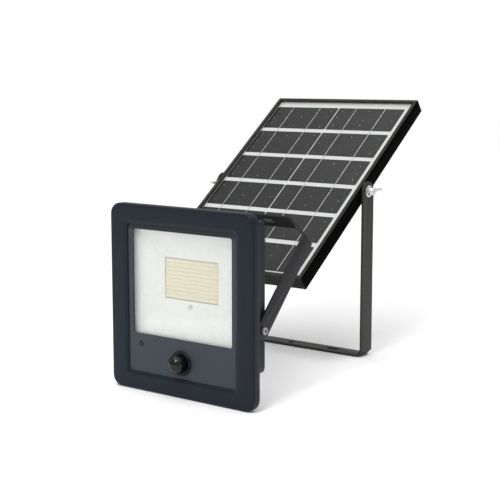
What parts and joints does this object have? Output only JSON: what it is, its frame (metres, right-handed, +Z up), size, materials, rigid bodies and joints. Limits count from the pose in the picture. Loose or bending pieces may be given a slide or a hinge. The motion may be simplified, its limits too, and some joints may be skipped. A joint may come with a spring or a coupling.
{
  "type": "solar flood light",
  "caption": "LED flood lamp with motion sensor on a tilting yoke, with a separate framed solar panel that tilts in its own U bracket on wing nuts.",
  "frame": {"origin": "on the floor, at the middle of the bounding box of lamp and panel unit", "axes": "+Z up; the lamp and the lower edge of the panel face -Y; both tilt axes run along X"},
  "size_m": [0.3367, 0.516, 0.3686],
  "materials": {
    "anthracite_paint": "fine matt powder coat",
    "yoke_paint": "fine matt powder coat",
    "bracket_paint": "fine matt powder coat",
    "window_glass": "clear",
    "panel_glass": "clear, low iron",
    "black_rubber": "matt",
    "white_reflector": "satin",
    "yellow_phosphor": "satin",
    "green_board": "solder mask",
    "black_gloss": "high gloss",
    "black_plastic": "satin",
    "zinc_steel": "zinc plated",
    "cell_sleeve": "shrink sleeve",
    "frame_black": "black anodised",
    "white_backsheet": "satin",
    "dark_silicon": "satin"
  },
  "bodies": {
    "bracket": {"panel_bracket": "bracket_paint"},
    "panel": {"frame_bottom": "frame_black", "frame_top": "frame_black", "frame_left": "frame_black", "frame_right": "frame_black", "panel_glass": "panel_glass", "backsheet": "white_backsheet", "solar_cell_1_1": "dark_silicon", "solar_cell_1_2": "dark_silicon", "solar_cell_2_1": "dark_silicon", "solar_cell_2_2": "dark_silicon", "solar_cell_3_1": "dark_silicon", "solar_cell_3_2": "dark_silicon", "solar_cell_4_1": "dark_silicon", "solar_cell_4_2": "dark_silicon", "solar_cell_5_1": "dark_silicon", "solar_cell_5_2": "dark_silicon", "solar_cell_6_1": "dark_silicon", "solar_cell_6_2": "dark_silicon", "junction_box": "black_plastic", "junction_lid": "black_plastic", "junction_gland": "black_plastic", "tilt_stud_left": "zinc_steel", "tilt_stud_right": "zinc_steel", "tilt_washer_left": "zinc_steel", "tilt_washer_right": "zinc_steel"},
    "wing_nut_left": {"wing_nut_left": "zinc_steel"},
    "wing_nut_right": {"wing_nut_right": "zinc_steel"},
    "yoke": {"lamp_yoke": "yoke_paint"},
    "head": {"front_bezel": "anthracite_paint", "front_plate": "anthracite_paint", "window_gasket": "black_rubber", "window_glass": "window_glass", "reflector": "white_reflector", "led_board": "white_reflector", "led_array": "yellow_phosphor", "pir_collar": "black_plastic", "pir_dome": "black_gloss", "pir_sensor": "zinc_steel", "pir_board": "green_board", "ir_window": "black_plastic", "ir_receiver": "black_plastic", "rear_casing": "anthracite_paint", "lamp_gland": "black_plastic", "lamp_gland_nut": "black_plastic", "vent_plug": "black_plastic", "casing_screw_1": "zinc_steel", "casing_screw_2": "zinc_steel", "casing_screw_3": "zinc_steel", "casing_screw_4": "zinc_steel", "battery_tray": "black_plastic", "battery_cell_1": "cell_sleeve", "battery_cell_2": "cell_sleeve", "battery_cell_3": "cell_sleeve", "controller_board": "green_board", "pivot_bolt_left": "zinc_steel", "pivot_bolt_right": "zinc_steel", "pivot_washer_left": "black_plastic", "pivot_washer_right": "black_plastic"}
  },
  "joints": [
    {"name": "panel_tilt", "type": "hinge", "parent": "bracket", "child": "panel", "pos_m": [-0.0191, 0.09985, 0.2415], "axis": [1, 0, 0], "range_deg": [-37.3, 52.7]},
    {"name": "wing_nut_left_spin", "type": "hinge", "parent": "panel", "child": "wing_nut_left", "pos_m": [-0.0191, 0.09985, 0.2415], "axis": [1, 0, 0], "continuous": true},
    {"name": "wing_nut_right_spin", "type": "hinge", "parent": "panel", "child": "wing_nut_right", "pos_m": [-0.0191, 0.09985, 0.2415], "axis": [1, 0, 0], "continuous": true},
    {"name": "lamp_apart", "type": "slide", "parent": "bracket", "child": "yoke", "axis": [0, -1, 0], "range_m": [0, 0.3]},
    {"name": "head_tilt", "type": "hinge", "parent": "yoke", "child": "head", "pos_m": [0.0509, -0.21665, 0.098], "axis": [1, 0, 0], "range_deg": [-42.7, 90]}
  ]
}
